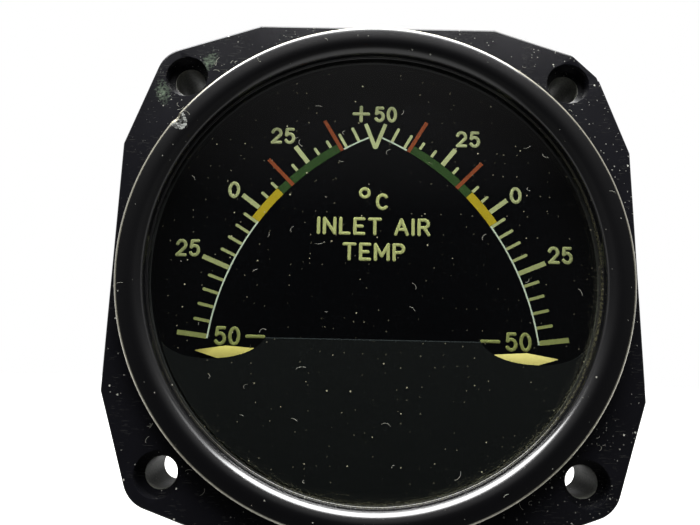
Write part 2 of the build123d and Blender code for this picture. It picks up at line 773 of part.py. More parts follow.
def make_receptacle_shell():
    y0 = CASE_BACK + GASKET_T
    plate = slab(RectangleRounded(FLANGE_SQ, FLANGE_SQ, 2.5), y0, y0 + 2.2)
    plate += rod(8.9, CASE_BACK - BACK_WALL, y0 + 1)
    plate += rod(SHELL_R, y0 + 1.0, SHELL_END)
    for i in range(6):
        y = SHELL_END - 1.4 - 1.35 * i
        plate -= tube(SHELL_R + 1, SHELL_R - 0.45, y - 0.35, y + 0.35)
    plate -= rod(SHELL_BORE, CASE_BACK - BACK_WALL - 1, SHELL_END + 1)
    for x, z in corners(SCREW_SQ / 2):
        plate -= rod(1.25, y0 - 1, y0 + 4, x, z)
    return plate


def make_receptacle_gasket():
    y0 = CASE_BACK
    sheet = slab(RectangleRounded(FLANGE_SQ, FLANGE_SQ, 2.5) - Circle(9.0), y0, y0 + GASKET_T)
    for x, z in corners(SCREW_SQ / 2):
        sheet -= rod(1.25, y0 - 1, y0 + 2, x, z)
    return sheet


def make_receptacle_insert():
    insert = rod(SHELL_BORE, INSERT_START, INSERT_END)
    insert += rod(SHELL_BORE - 0.8, INSERT_START - 1.0, INSERT_START + 0.6)
    for x, z in contact_places():
        insert -= rod(0.8, CUP_END - 1, INSERT_END + 1, x, z)
    insert -= slab(Pos(0, SHELL_BORE - 0.5) * Rectangle(1.6, 2.0), INSERT_END - 2.0, INSERT_END + 1)
    return insert


def make_contacts():
    pins = []
    for x, z in contact_places():
        pin = rod(0.8, CUP_END, PIN_END, x, z)
        cup = rod(1.0, CUP_END, INSERT_START - 1.0, x, z)
        pin = fillet(pin.edges().group_by(Axis.Y)[-1], 0.35)
        pins.append(pin + cup)
    return gather(pins)


def make_receptacle_screws():
    y0 = CASE_BACK + GASKET_T + 2.2
    return gather([screw(x, z, 2.1, y0, y0 + 1.5, 1.25, CASE_BACK - BACK_WALL) for x, z in corners(SCREW_SQ / 2)])


def build_all():
    parts = {}
    parts["case"] = make_case()
    parts["bezel_ring"] = make_bezel_ring()
    parts["cover_glass"] = rod(STACK_R, LIP_BACK, GLASS_BACK)
    parts["glass_gasket"] = tube(STACK_R, SIGHT_R, GLASS_BACK, GASKET_BACK)
    parts["dial_spacer"] = tube(STACK_R, SIGHT_R, GASKET_BACK, DIAL_FRONT)
    parts["dial_plate"] = make_dial_plate()
    parts["dial_mask"] = make_dial_mask()
    parts["scale_ticks"] = make_scale_ticks()
    parts["scale_arcs"] = make_scale_arcs()
    parts["red_marks"] = make_red_marks()
    parts["green_bands"] = make_green_bands()
    parts["yellow_bands"] = make_bands(YELLOW_FROM, GREEN_FROM - turn_for(MARK_GAP))
    parts["mask_pillars"] = make_mask_pillars()
    parts["mask_nuts"] = make_mask_nuts()
    parts["dial_posts"] = make_dial_posts()
    parts["dial_screws"] = make_dial_screws()
    for side, name in ((1, "left"), (-1, "right")):
        parts[name + "_pointer"] = make_pointer(side)
        parts[name + "_front_spindle"] = make_front_spindle(side)
        parts[name + "_rear_spindle"] = make_rear_spindle(side)
        parts[name + "_coil_former"] = make_coil_former(side)
        parts[name + "_coil_winding"] = make_coil_winding(side)
        parts[name + "_balance"] = make_balance(side)
        parts[name + "_front_hairspring"] = make_hairspring(side, 11.05)
        parts[name + "_rear_hairspring"] = make_hairspring(side, 38.15)
    parts["spring_studs"] = make_spring_studs()
    parts["magnet_yokes"] = make_yokes()
    parts["core_magnets"] = make_cores()
    parts["core_supports"] = make_core_supports()
    parts["yoke_posts"] = make_yoke_posts()
    parts["yoke_screws"] = make_yoke_screws()
    parts["front_plate"] = make_front_plate()
    parts["base_plate"] = make_base_plate()
    parts["front_bushes"] = make_front_bushes()
    parts["rear_bushes"] = make_rear_bushes()
    parts["plate_pillars"] = make_plate_pillars()
    parts["pillar_nuts"] = make_pillar_nuts()
    parts["stop_pins"] = make_stop_pins()
    parts["rear_posts"] = make_rear_posts()
    parts["rear_nuts"] = make_rear_nuts()
    parts["case_screws"] = make_case_screws()
    parts["resistor_bobbins"] = make_resistor_bobbins()
    parts["resistor_windings"] = make_resistor_windings()
    parts["resistor_screws"] = make_resistor_screws()
    parts["terminal_strip"] = make_terminal_strip()
    parts["terminal_screws"] = make_terminal_screws()
    parts["terminal_lugs"] = make_terminal_lugs()
    parts["lead_wires"] = make_lead_wires()
    parts["receptacle_shell"] = make_receptacle_shell()
    parts["receptacle_gasket"] = make_receptacle_gasket()
    parts["receptacle_insert"] = make_receptacle_insert()
    parts["contacts"] = make_contacts()
    parts["receptacle_screws"] = make_receptacle_screws()
    return parts


os.makedirs("parts", exist_ok=True)
for name, solid in build_all().items():
    export_step(solid, "parts/" + name + ".step")
    print(name, len(solid.solids()), round(solid.volume, 1))
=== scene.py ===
# %% [markdown]
# # A twin-pointer air temperature indicator
# This is a small panel instrument for an aircraft: a black moulded case with a square flange, a
# black enamelled ring that holds the glass, and a dial with two scales that mirror each other.
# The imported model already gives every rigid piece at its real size. Here the ring is turned again
# finely enough for its long highlights, the figures are written on the dial, and every piece
# gets the finish of the real material.

# %% The frame
import math
import random
import bpy
from mathutils import Matrix, Vector


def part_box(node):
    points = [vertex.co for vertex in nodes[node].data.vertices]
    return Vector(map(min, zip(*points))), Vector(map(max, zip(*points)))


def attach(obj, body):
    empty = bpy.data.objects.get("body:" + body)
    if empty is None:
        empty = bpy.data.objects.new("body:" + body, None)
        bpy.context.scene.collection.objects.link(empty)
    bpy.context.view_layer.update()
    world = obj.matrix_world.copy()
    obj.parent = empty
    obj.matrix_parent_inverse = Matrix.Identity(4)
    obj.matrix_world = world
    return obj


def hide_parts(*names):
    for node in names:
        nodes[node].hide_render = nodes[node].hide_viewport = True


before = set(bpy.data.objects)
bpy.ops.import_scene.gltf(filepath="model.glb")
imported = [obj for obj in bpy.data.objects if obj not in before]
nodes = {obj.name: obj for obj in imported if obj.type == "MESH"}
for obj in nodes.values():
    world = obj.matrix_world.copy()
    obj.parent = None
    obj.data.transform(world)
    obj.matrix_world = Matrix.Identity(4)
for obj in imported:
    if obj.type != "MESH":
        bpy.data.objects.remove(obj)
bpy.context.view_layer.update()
random.seed(7)
MM = 0.001
print("pieces in the frame:", len(nodes))

# %% [markdown]
# ## The camera
# The photograph was taken from close by, a little below the dial's axis and looking up at it. A
# lens of 31.3 mm on a 36 mm sensor gives the same angle. Four turns in a row set the camera: a
# quarter turn to look along Y, a small roll, a hair of yaw, and the look upwards. They are written
# as turns rather than as one set of angles, because each can then be matched by itself.

# %% Camera
CAMERA_AT = (-3.38, -93.08, -16.65)
TURNS = [(90, "X"), (1.23, "Z"), (0.05, "Y"), (10.57, "X")]

bpy.ops.object.camera_add()
camera = bpy.context.object
camera.data.sensor_width = 36
camera.data.lens = 31.276
camera.data.clip_start = 0.005
turn = Matrix.Identity(4)
for degrees, axis in TURNS:
    turn = turn @ Matrix.Rotation(math.radians(degrees), 4, axis)
camera.matrix_world = Matrix.Translation([c * MM for c in CAMERA_AT]) @ turn
bpy.context.scene.camera = camera
bpy.context.scene.view_settings.view_transform = "Standard"
print("camera distance in mm:", round(math.dist(CAMERA_AT, (0, 0, 0)), 1))

# %% [markdown]
# ## The case
# The case and its flange are one moulding, and every moulded edge has a small rounding that
# catches a line of light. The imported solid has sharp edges. So a copy of it is merged into one
# skin, its sharp edges are bevelled, and the copy stands for the solid. Drawing the case again
# would only risk another size. The Weighted Normal modifier lets the flat faces keep their own
# direction, so that no false shine spreads over them from the rounded edges.

# %% Rounding the edges of a moulded piece
MERGE = 0.002
FLAT_WITHIN = 32


def deselect():
    if bpy.context.object and bpy.context.object.mode != "OBJECT":
        bpy.ops.object.mode_set(mode="OBJECT")
    bpy.ops.object.select_all(action="DESELECT")


def select(piece):
    deselect()
    piece.select_set(True)
    bpy.context.view_layer.objects.active = piece


def merged_copy(node):
    copy = nodes[node].copy()
    copy.data = nodes[node].data.copy()
    copy.name = node + "_edged"
    bpy.context.collection.objects.link(copy)
    select(copy)
    bpy.ops.object.mode_set(mode="EDIT")
    bpy.ops.mesh.select_all(action="SELECT")
    bpy.ops.mesh.remove_doubles(threshold=MERGE * MM)
    bpy.ops.mesh.normals_make_consistent(inside=False)
    bpy.ops.object.mode_set(mode="OBJECT")
    return copy


def round_edges(piece, width_mm, angle_deg):
    select(piece)
    bpy.ops.object.modifier_add(type="BEVEL")
    edge = piece.modifiers[-1]
    edge.width = width_mm * MM
    edge.segments = 2
    edge.limit_method = "ANGLE"
    edge.angle_limit = math.radians(angle_deg)
    bpy.ops.object.modifier_apply(modifier=edge.name)
    bpy.ops.object.shade_smooth_by_angle(angle=math.radians(FLAT_WITHIN))
    bpy.ops.object.modifier_add(type="WEIGHTED_NORMAL")
    level = piece.modifiers[-1]
    level.keep_sharp = True
    bpy.ops.object.modifier_apply(modifier=level.name)


# %% The case with its rounded edges
case = merged_copy("case")
round_edges(case, 0.12, 38)
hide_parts("case")
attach(case, "instrument")
print("faces of the case:", len(case.data.polygons))

# %% [markdown]
# ## Colours and nodes
# Colours are written as they look on a screen, so one function turns them to the linear values
# that the shader wants. One more adds a node of any kind with its settings and its inputs, and
# gives back its outputs. A finish is mostly a base colour with others laid over it where a mask
# is 1, so that has a function too.

# %% Colour and node helpers
def linear(code):
    values = []
    for i in (1, 3, 5):
        c = int(code[i:i + 2], 16) / 255
        values.append(c / 12.92 if c <= 0.04045 else ((c + 0.055) / 1.055) ** 2.4)
    return (*values, 1.0)


def add(tree, kind, inputs=(), **settings):
    node = tree.nodes.new("ShaderNode" + kind)
    for key, value in settings.items():
        setattr(node, key, value)
    pairs = inputs.items() if isinstance(inputs, dict) else enumerate(inputs)
    for key, value in pairs:
        if isinstance(value, bpy.types.NodeSocket):
            tree.links.new(value, node.inputs[key])
        else:
            node.inputs[key].default_value = value
    return node.outputs


def every(size_mm):
    # the scale of a pattern that repeats at this real size
    return 1 / (size_mm * MM)


def layered(tree, colour, layers):
    base = linear(colour)
    for mask, over in layers:
        if isinstance(over, str):
            over = linear(over)
        base = add(tree, "Mix", {0: mask, 6: base, 7: over}, data_type="RGBA")[2]
    return base


print("mid grey in linear light:", round(linear("#808080")[0], 3))


# %% Starting a material and giving it to pieces
def start_material(name, roughness=0.5, metallic=0.0):
    material = bpy.data.materials.new(name)
    material.use_nodes = True
    tree = material.node_tree
    shader = tree.nodes["Principled BSDF"]
    shader.inputs["Roughness"].default_value = roughness
    shader.inputs["Metallic"].default_value = metallic
    place = add(tree, "TexCoord")["Object"]
    return material, tree, shader, place


def dress(tree, shader, base, height=None, depth_mm=0.0, strength=0.0):
    # the colour goes to the shader, and a pattern of heights becomes fine relief
    tree.links.new(base, shader.inputs["Base Color"])
    if height:
        relief = add(tree, "Bump", {"Height": height, "Distance": depth_mm * MM,
                                    "Strength": strength})[0]
        tree.links.new(relief, shader.inputs["Normal"])


def finish(material, *pieces):
    for piece in pieces:
        thing = nodes[piece] if isinstance(piece, str) else piece
        if not thing.data.materials:
            thing.data.materials.append(material)
        for slot in thing.material_slots:
            slot.material = material


# %% [markdown]
# ## Masks for dust and wear
# Dust is specks, so it comes from a pattern of random cells: some of the cells hold a speck of
# random size. Scratches are a noise drawn out along one direction and cut at a level. Wear sits
# at a place, so one mask fades out from a spot, and another is the distance from the ring's axis.

# %% Masks
def specks(tree, place, cell_mm, share, size, kind="3D"):
    cells = add(tree, "TexVoronoi", {"Vector": place, "Scale": every(cell_mm)},
                voronoi_dimensions=kind)
    tint = add(tree, "SeparateColor", [cells["Color"]])
    chosen = add(tree, "Math", [tint[0], share], operation="LESS_THAN")[0]
    reach = add(tree, "Math", [tint[1], size], operation="MULTIPLY")[0]
    near = add(tree, "Math", [cells["Distance"], reach], operation="LESS_THAN")[0]
    return add(tree, "Math", [chosen, near], operation="MULTIPLY")[0]


def streaks(tree, place, angle_deg, length_mm, width_mm, level):
    scale = (every(length_mm), every(1.0), every(width_mm))
    drawn = add(tree, "Mapping", {"Vector": place, "Scale": scale,
                                  "Rotation": (0, math.radians(angle_deg), 0)})[0]
    noise = add(tree, "TexNoise", {"Vector": drawn, "Scale": 1.0, "Detail": 1.0})["Fac"]
    return add(tree, "Math", [noise, level], operation="GREATER_THAN")[0]


def near_spot(tree, place, spot_mm, reach_mm, stretch, turn_deg):
    # 1 at the spot, fading to 0 at its reach
    spot = tuple(c * MM for c in spot_mm)
    scale = tuple(every(reach_mm * s) for s in stretch)
    shifted = add(tree, "VectorMath", [place, spot], operation="SUBTRACT")[0]
    turned = add(tree, "VectorRotate", {"Vector": shifted, "Axis": (0, 1, 0),
                                        "Angle": math.radians(turn_deg)})[0]
    scaled = add(tree, "VectorMath", [turned, scale], operation="MULTIPLY")[0]
    far = add(tree, "VectorMath", [scaled], operation="LENGTH")["Value"]
    return add(tree, "Math", [1.0, far], operation="SUBTRACT", use_clamp=True)[0]


def from_axis(tree, place):
    flat = add(tree, "VectorMath", [place, (1, 0, 1)], operation="MULTIPLY")[0]
    return add(tree, "VectorMath", [flat], operation="LENGTH")["Value"]


print("scale of a 1.6 mm pattern of dust:", round(every(1.6)))


# %% [markdown]
# ## Moulded phenolic
# Old phenolic is a satin black with a faint grain, and it holds pale dust and fine scratches.
# Here the dust lies thickest on the right and at the top. Round the upper left screw hole a tool
# has rubbed the surface to a pale green-grey. The drilled bores are rough, and a pale grey grain on
# their walls is a painted sheen for the light they catch, with dirt in it. Each of these is a mask
# of its own, so that one can be changed without the others.

# %% Dust on the moulding
def flange_dust(tree, place, cloud):
    axes = add(tree, "SeparateXYZ", [place])
    lean = add(tree, "Math", [axes["X"], 9.0, 0.25], operation="MULTIPLY_ADD")[0]
    lean = add(tree, "Math", [axes["Z"], 5.0, lean], operation="MULTIPLY_ADD")[0]
    lean = add(tree, "Math", [cloud, 0.35, lean], operation="MULTIPLY_ADD", use_clamp=True)[0]
    lean = add(tree, "Math", [lean, 0.55], operation="MULTIPLY")[0]
    fine = specks(tree, place, 0.5, 0.55, 0.20)
    fine = add(tree, "Math", [fine, lean], operation="MULTIPLY")[0]
    middle = specks(tree, place, 0.9, 0.6, 0.14)
    middle = add(tree, "Math", [middle, 0.45], operation="MULTIPLY")[0]
    coarse = specks(tree, place, 1.6, 0.5, 0.10)
    dust = add(tree, "Math", [fine, middle], operation="MAXIMUM")[0]
    return add(tree, "Math", [dust, coarse], operation="MAXIMUM")[0]


# %% Scratches and rubbed patches
def scratches(tree, place):
    # two families of short strokes, kept only where a slow noise is high, so they come in groups
    rising = streaks(tree, place, 52, 2.6, 0.12, 0.68)
    falling = streaks(tree, place, -35, 1.8, 0.10, 0.69)
    strokes = add(tree, "Math", [rising, falling], operation="MAXIMUM")[0]
    group = add(tree, "TexNoise", {"Vector": place, "Scale": every(3.0), "Detail": 1.0})["Fac"]
    group = add(tree, "Math", [group, 0.5], operation="GREATER_THAN")[0]
    strokes = add(tree, "Math", [strokes, group], operation="MULTIPLY")[0]
    return add(tree, "Math", [strokes, 0.2], operation="MULTIPLY")[0]


def rubbed_patches(tree, place):
    # one patch above the upper left hole and one beside it, torn into grains and short strokes
    above = near_spot(tree, place, (-28.0, 0, 34.0), 3.4, (1, 3, 0.55), 55)
    beside = near_spot(tree, place, (-35.2, 0, 28.6), 3.6, (0.55, 3, 1), 15)
    rub = add(tree, "Math", [above, beside], operation="MAXIMUM")[0]
    rub = add(tree, "Math", [rub, 0.6], operation="POWER")[0]
    strokes = streaks(tree, place, 30, 1.0, 0.25, 0.5)
    strokes = add(tree, "Math", [strokes, 0.25, 1.1], operation="MULTIPLY_ADD")[0]
    torn = add(tree, "TexNoise", {"Vector": place, "Scale": every(0.4), "Detail": 5.0})["Fac"]
    torn = add(tree, "Math", [torn, strokes], operation="MULTIPLY")[0]
    patch = add(tree, "Math", [rub, torn], operation="MULTIPLY")[0]
    patch = add(tree, "Math", [patch, 0.34], operation="SUBTRACT")[0]
    return add(tree, "Math", [patch, 2.2], operation="MULTIPLY", use_clamp=True)[0]


# %% The phenolic finish
HOLE_AT = 31.43
BORE_REACH = 2.48


def in_the_bores(tree, place):
    # the four holes mirror each other, so one distance serves them all
    folded = add(tree, "VectorMath", [place], operation="ABSOLUTE")[0]
    centre = (HOLE_AT * MM, 0, HOLE_AT * MM)
    offset = add(tree, "VectorMath", [folded, centre], operation="SUBTRACT")[0]
    return add(tree, "Math", [from_axis(tree, offset), BORE_REACH * MM], operation="LESS_THAN")[0]


def phenolic():
    # moulded phenolic: a deep black with a soft shine, greyed by what lies on it; its grain is
    # finer than 0.35 mm on the real one and is drawn at that size so that it shows
    material, tree, shader, place = start_material("phenolic_moulded_black")
    grain = add(tree, "TexNoise", {"Vector": place, "Scale": every(0.35), "Detail": 3.0})["Fac"]
    cloud = add(tree, "TexNoise", {"Vector": place, "Scale": every(9.0), "Detail": 3.0})["Fac"]
    bore = in_the_bores(tree, place)
    # painted light: the pale grey grain on the bore walls stands for their sheen, with dirt in it
    bore_sheen_and_dirt = add(tree, "Math", [bore, grain], operation="MULTIPLY")[0]
    base = layered(tree, "#08080A", [
        (cloud, "#0F0F13"),
        (flange_dust(tree, place, cloud), "#8C8C84"),
        (scratches(tree, place), "#56564F"),
        (rubbed_patches(tree, place), "#4A5447"),
        (bore_sheen_and_dirt, "#66675E")])
    dress(tree, shader, base, grain, 0.006, 0.4)
    rough = add(tree, "Math", [cloud, 0.10, 0.12], operation="MULTIPLY_ADD")[0]
    rough = add(tree, "Math", [bore, 0.35, rough], operation="MULTIPLY_ADD")[0]
    tree.links.new(rough, shader.inputs["Roughness"])
    gloss = add(tree, "Math", [bore, -0.15, 0.30], operation="MULTIPLY_ADD")[0]
    tree.links.new(gloss, shader.inputs["Specular IOR Level"])
    return material


finish(phenolic(), case)
print("finish of the case:", case.active_material.name)

# %% [markdown]
# ## The ring
# The ring is turned aluminium. Its long highlights show every step of a coarse shape, so it is
# drawn out again ring by ring: a circle of 360 points is extruded and resized along the profile,
# from the flange round the crowned face, down the rolled inner edge to the lip, and back inside.
# Spin could turn a drawn outline to the same form. Working ring by ring was chosen because each
# step of the profile is then one pair of numbers, easy to change.

# %% The ring's profile, as radius and depth in mm
OUTER_ROUNDING = [
    (39.72, 0.0), (39.72, -1.76), (39.705, -1.92), (39.66, -2.06), (39.58, -2.18),
    (39.46, -2.275), (39.31, -2.33), (39.12, -2.354)]
CROWN = [
    (38.80, -2.36), (38.35, -2.36), (37.90, -2.348), (37.50, -2.31), (37.20, -2.254),
    (36.90, -2.168), (36.60, -2.047)]
INNER_ROLL = [
    (36.30, -1.884), (36.00, -1.666), (35.80, -1.473), (35.62, -1.225), (35.52, -0.95),
    (35.50, -0.70), (35.50, -0.12)]
LIP_ON_GLASS = [
    (35.46, -0.06), (35.36, -0.05), (35.29, -0.01), (35.26, 0.06), (35.26, 0.35)]
SPIGOT = [(37.15, 0.35), (37.15, 4.6), (38.25, 4.6), (38.25, 0.0)]
SMOOTH_WITHIN = 40


def turn_profile(name, profile, points):
    deselect()
    r, y = profile[0]
    bpy.ops.mesh.primitive_circle_add(vertices=points, radius=r * MM, location=(0, y * MM, 0),
                                      rotation=(math.radians(90), 0, 0))
    piece = bpy.context.object
    piece.name = name
    bpy.ops.object.transform_apply(location=True, rotation=True, scale=True)
    bpy.ops.object.mode_set(mode="EDIT")
    bpy.ops.mesh.select_all(action="SELECT")
    for new_r, new_y in profile[1:] + profile[:1]:
        step = (0, (new_y - y) * MM, 0)
        bpy.ops.mesh.extrude_region_move(TRANSFORM_OT_translate={"value": step})
        bpy.ops.transform.resize(value=(new_r / r, 1, new_r / r), center_override=(0, 0, 0))
        r, y = new_r, new_y
    bpy.ops.mesh.select_all(action="SELECT")
    bpy.ops.mesh.remove_doubles(threshold=MERGE * MM)
    bpy.ops.mesh.normals_make_consistent(inside=False)
    bpy.ops.object.mode_set(mode="OBJECT")
    bpy.ops.object.shade_smooth_by_angle(angle=math.radians(SMOOTH_WITHIN))
    return piece


# %% Turning the ring
profile = OUTER_ROUNDING + CROWN + INNER_ROLL + LIP_ON_GLASS + SPIGOT
ring = turn_profile("bezel_ring_turned", profile, 360)
print("points of the ring:", len(ring.data.vertices))

# %% [markdown]
# ### The knock in its edge
# At the upper left something hard has struck the ring and torn a small hollow in its outer edge.
# A stretched ball, roughened by a noise of half a millimetre, is cut out of the ring. A painted
# mark would not break the highlight on the edge as the real hollow does.

# %% Cutting the knock
KNOCK_AT = Vector((-32.1, -2.5, 23.3))
KNOCK_TURN = -50
KNOCK_HALF = (2.0, 0.95, 0.95)
TEAR = 0.5

deselect()
bpy.ops.mesh.primitive_ico_sphere_add(subdivisions=5, radius=MM, location=KNOCK_AT * MM)
cutter = bpy.context.object
bpy.ops.transform.resize(value=KNOCK_HALF)
bpy.ops.transform.rotate(value=math.radians(KNOCK_TURN), orient_axis="Y",
                         center_override=KNOCK_AT * MM)
bpy.ops.object.transform_apply(location=True, rotation=True, scale=True)
bpy.ops.object.modifier_add(type="DISPLACE")
tear = cutter.modifiers[-1]
tear.texture = bpy.data.textures.new("torn_edge", "CLOUDS")
tear.texture.noise_scale = TEAR * MM
tear.strength = TEAR * MM
bpy.ops.object.modifier_apply(modifier=tear.name)

select(ring)
bpy.ops.object.modifier_add(type="BOOLEAN")
cut = ring.modifiers[-1]
cut.operation = "DIFFERENCE"
cut.object = cutter
bpy.ops.object.modifier_apply(modifier=cut.name)
bpy.data.objects.remove(cutter)
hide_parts("bezel_ring")
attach(ring, "instrument")
print("points with the knock cut:", len(ring.data.vertices))

# %% [markdown]
# ### Baked enamel
# Baked enamel on a turned ring is smooth but not a mirror: a dull black under a clear coat. Under
# it the aluminium shows pale grey where the knock has gone through, torn in short lines, and
# handling has worn the outer edge to the metal. Dirt has settled in the step at the lip, most at
# the lower right, and fine dust lies on the rest.

# %% Wear of the enamel
LIP_WITHIN = 35.48
WORN_FROM = 39.25
WORN_FULL = 39.45
FRONT_EDGE = -1.4


def bare_knock(tree, place, grain):
    spot = near_spot(tree, place, KNOCK_AT, 2.35, (1.35, 0.9, 0.75), KNOCK_TURN)
    ragged = add(tree, "Math", [grain, 0.3, spot], operation="MULTIPLY_ADD")[0]
    return add(tree, "Math", [ragged, 0.36], operation="GREATER_THAN")[0]


def lip_soil(tree, place, grain, radius):
    axes = add(tree, "SeparateXYZ", [place])
    low = add(tree, "Math", [axes["X"], 14, 0.45], operation="MULTIPLY_ADD")[0]
    low = add(tree, "Math", [axes["Z"], -16, low], operation="MULTIPLY_ADD", use_clamp=True)[0]
    lip = add(tree, "Math", [radius, LIP_WITHIN * MM], operation="LESS_THAN")[0]
    lip = add(tree, "Math", [lip, low], operation="MULTIPLY")[0]
    clots = add(tree, "Math", [grain, 0.35], operation="SUBTRACT")[0]
    clots = add(tree, "Math", [clots, 2.6], operation="MULTIPLY", use_clamp=True)[0]
    return add(tree, "Math", [lip, clots], operation="MULTIPLY")[0]


def worn_rim(tree, place, grain, radius):
    depth = add(tree, "SeparateXYZ", [place])["Y"]
    front = add(tree, "Math", [depth, FRONT_EDGE * MM], operation="LESS_THAN")[0]
    rim = add(tree, "MapRange", [radius, WORN_FROM * MM, WORN_FULL * MM, 0.0, 0.95])[0]
    rim = add(tree, "Math", [rim, front], operation="MULTIPLY")[0]
    uneven = add(tree, "Math", [grain, 0.35], operation="ADD", use_clamp=True)[0]
    return add(tree, "Math", [rim, uneven], operation="MULTIPLY")[0]


# %% The enamel finish
def enamel():
    # baked enamel: a dull black whose clear coat draws the ring's long, soft highlights
    material, tree, shader, place = start_material("enamel_baked_black")
    grain = add(tree, "TexNoise", {"Vector": place, "Scale": every(0.4), "Detail": 3.0})["Fac"]
    radius = from_axis(tree, place)
    faint = specks(tree, place, 0.8, 0.45, 0.12)
    faint = add(tree, "Math", [faint, 0.4], operation="MULTIPLY")[0]
    dust = specks(tree, place, 1.7, 0.45, 0.09)
    dust = add(tree, "Math", [faint, dust], operation="MAXIMUM")[0]
    bare = bare_knock(tree, place, grain)
    torn = streaks(tree, place, 40, 1.2, 0.16, 0.52)
    metal_shown = layered(tree, "#141414", [(grain, "#4A4B49"), (torn, "#7C7E7A")])
    soil = lip_soil(tree, place, grain, radius)
    thin_soil = add(tree, "Math", [soil, 0.6], operation="MULTIPLY")[0]
    worn = worn_rim(tree, place, grain, radius)
    base = layered(tree, "#050506", [
        (dust, "#7A7A72"), (bare, metal_shown), (thin_soil, "#46442F"), (worn, "#A4A08F")])
    height = add(tree, "Math", [dust, 0.6, grain], operation="MULTIPLY_ADD")[0]
    dress(tree, shader, base, height, 0.003, 0.3)
    rough = add(tree, "Math", [bare, 0.2, 0.42], operation="MULTIPLY_ADD")[0]
    tree.links.new(rough, shader.inputs["Roughness"])
    tree.links.new(worn, shader.inputs["Metallic"])
    shader.inputs["Specular IOR Level"].default_value = 0.04
    # the clear coat is gone where the metal is bare, and dull where dirt lies
    lost = add(tree, "Math", [bare, 0.8], operation="MULTIPLY")[0]
    dull = add(tree, "Math", [soil, 0.3], operation="MULTIPLY")[0]
    dull = add(tree, "Math", [lost, dull], operation="MAXIMUM")[0]
    coat = add(tree, "Math", [0.9, dull], operation="SUBTRACT")[0]
    tree.links.new(coat, shader.inputs["Coat Weight"])
    shader.inputs["Coat Roughness"].default_value = 0.15
    shader.inputs["Coat IOR"].default_value = 1.65
    return material


finish(enamel(), ring)
print("finish of the ring:", ring.active_material.name)

# %% [markdown]
# ## The glass
# A flat disc of float glass, 1.6 mm thick. It is clear, reflects a little of the room, and carries
# dust, thickest along the lip at the right and at the bottom where it slid down. A Glass shader
# would shade the dial as a solid does, so the pane is a clear shader under a thin reflection.
# Dust is a pale layer on top.

# %% Dust on the glass
GRIT_FROM = 33.6
GRIT_FULL = 35.2667


def gathered_dust(tree, place):
    # fine grit that thickens towards the lip, most at the lower right
    far = from_axis(tree, place)
    edge = add(tree, "MapRange", [far, GRIT_FROM * MM, GRIT_FULL * MM, 0.0, 1.0])[0]
    edge = add(tree, "Math", [edge, 2.0], operation="POWER")[0]
    axes = add(tree, "SeparateXYZ", [place])
    low = add(tree, "Math", [axes["X"], 14, 0.28], operation="MULTIPLY_ADD")[0]
    low = add(tree, "Math", [axes["Z"], -22, low], operation="MULTIPLY_ADD", use_clamp=True)[0]
    crowd = add(tree, "Math", [edge, low], operation="MULTIPLY")[0]
    grit = add(tree, "TexNoise", {"Vector": place, "Scale": every(0.16), "Detail": 2.0})["Fac"]
    level = add(tree, "Math", [crowd, 0.14, 0.27], operation="MULTIPLY_ADD")[0]
    grit = add(tree, "Math", [grit, level], operation="LESS_THAN")[0]
    some = add(tree, "Math", [crowd, 0.02], operation="GREATER_THAN")[0]
    grit = add(tree, "Math", [grit, some], operation="MULTIPLY")[0]
    return add(tree, "Math", [grit, 0.5], operation="MULTIPLY")[0]


def loose_dust(tree, place, outer):
    # on a flat pane the pattern is flat too, so every speck lies in the outer surface
    face = add(tree, "Mapping", {"Vector": place, "Rotation": (math.radians(90), 0, 0)})[0]
    fine = specks(tree, face, 1.7, 0.5, 0.055, "2D")
    fine = add(tree, "Math", [fine, 0.4], operation="MULTIPLY")[0]
    coarse = specks(tree, face, 3.8, 0.45, 0.034, "2D")
    coarse = add(tree, "Math", [coarse, 0.95], operation="MULTIPLY")[0]
    loose = add(tree, "Math", [fine, coarse], operation="MAXIMUM")[0]
    return add(tree, "Math", [loose, outer], operation="MULTIPLY")[0]


# %% The glass finish
def cover_glass():
    # float glass: clear and very slightly green, with a thin mirror over it
    material, tree, shader, place = start_material("glass_float_clear")
    output = tree.nodes["Material Output"]
    tree.nodes.remove(shader)
    back = add(tree, "NewGeometry")["Backfacing"]
    outer = add(tree, "Math", [1.0, back], operation="SUBTRACT")[0]
    clear = add(tree, "BsdfTransparent", {"Color": (0.93, 0.95, 0.94, 1)})[0]
    gloss = add(tree, "BsdfGlossy", {"Roughness": 0.03})[0]
    mirror = add(tree, "Fresnel", {"IOR": 1.5})[0]
    mirror = add(tree, "Math", [mirror, outer], operation="MULTIPLY")[0]
    pane = add(tree, "MixShader", [mirror, clear, gloss])[0]
    gathered = gathered_dust(tree, place)
    loose = loose_dust(tree, place, outer)
    dust = add(tree, "Math", [gathered, loose], operation="MAXIMUM")[0]
    powder = add(tree, "BsdfDiffuse", {"Color": linear("#82806A")})[0]
    dusty = add(tree, "MixShader", [dust, pane, powder])[0]
    tree.links.new(dusty, output.inputs["Surface"])
    return material


finish(cover_glass(), "cover_glass")
print("finish of the glass:", nodes["cover_glass"].active_material.name)

# %% [markdown]
# ## Dial and range bands
# The dial is sheet metal under dead black paint, and the range bands are ordinary red, green and
# yellow paint. Such paint has no shine and its shade is a little mottled, so one finish serves
# them all with other colours: two near shades mixed by a fine noise, which also gives the paint
# its slight relief. An image texture could do it too, but this needs no picture file.

# %% Dull paints
def dull_finish(name, colour, second, roughness, grain_mm, specular):
    material, tree, shader, place = start_material(name, roughness)
    mottle = add(tree, "TexNoise", {"Vector": place, "Scale": every(grain_mm),
                                    "Detail": 3.0})["Fac"]
    dress(tree, shader, layered(tree, colour, [(mottle, second)]), mottle, 0.01, 0.5)
    shader.inputs["Specular IOR Level"].default_value = specular
    return material


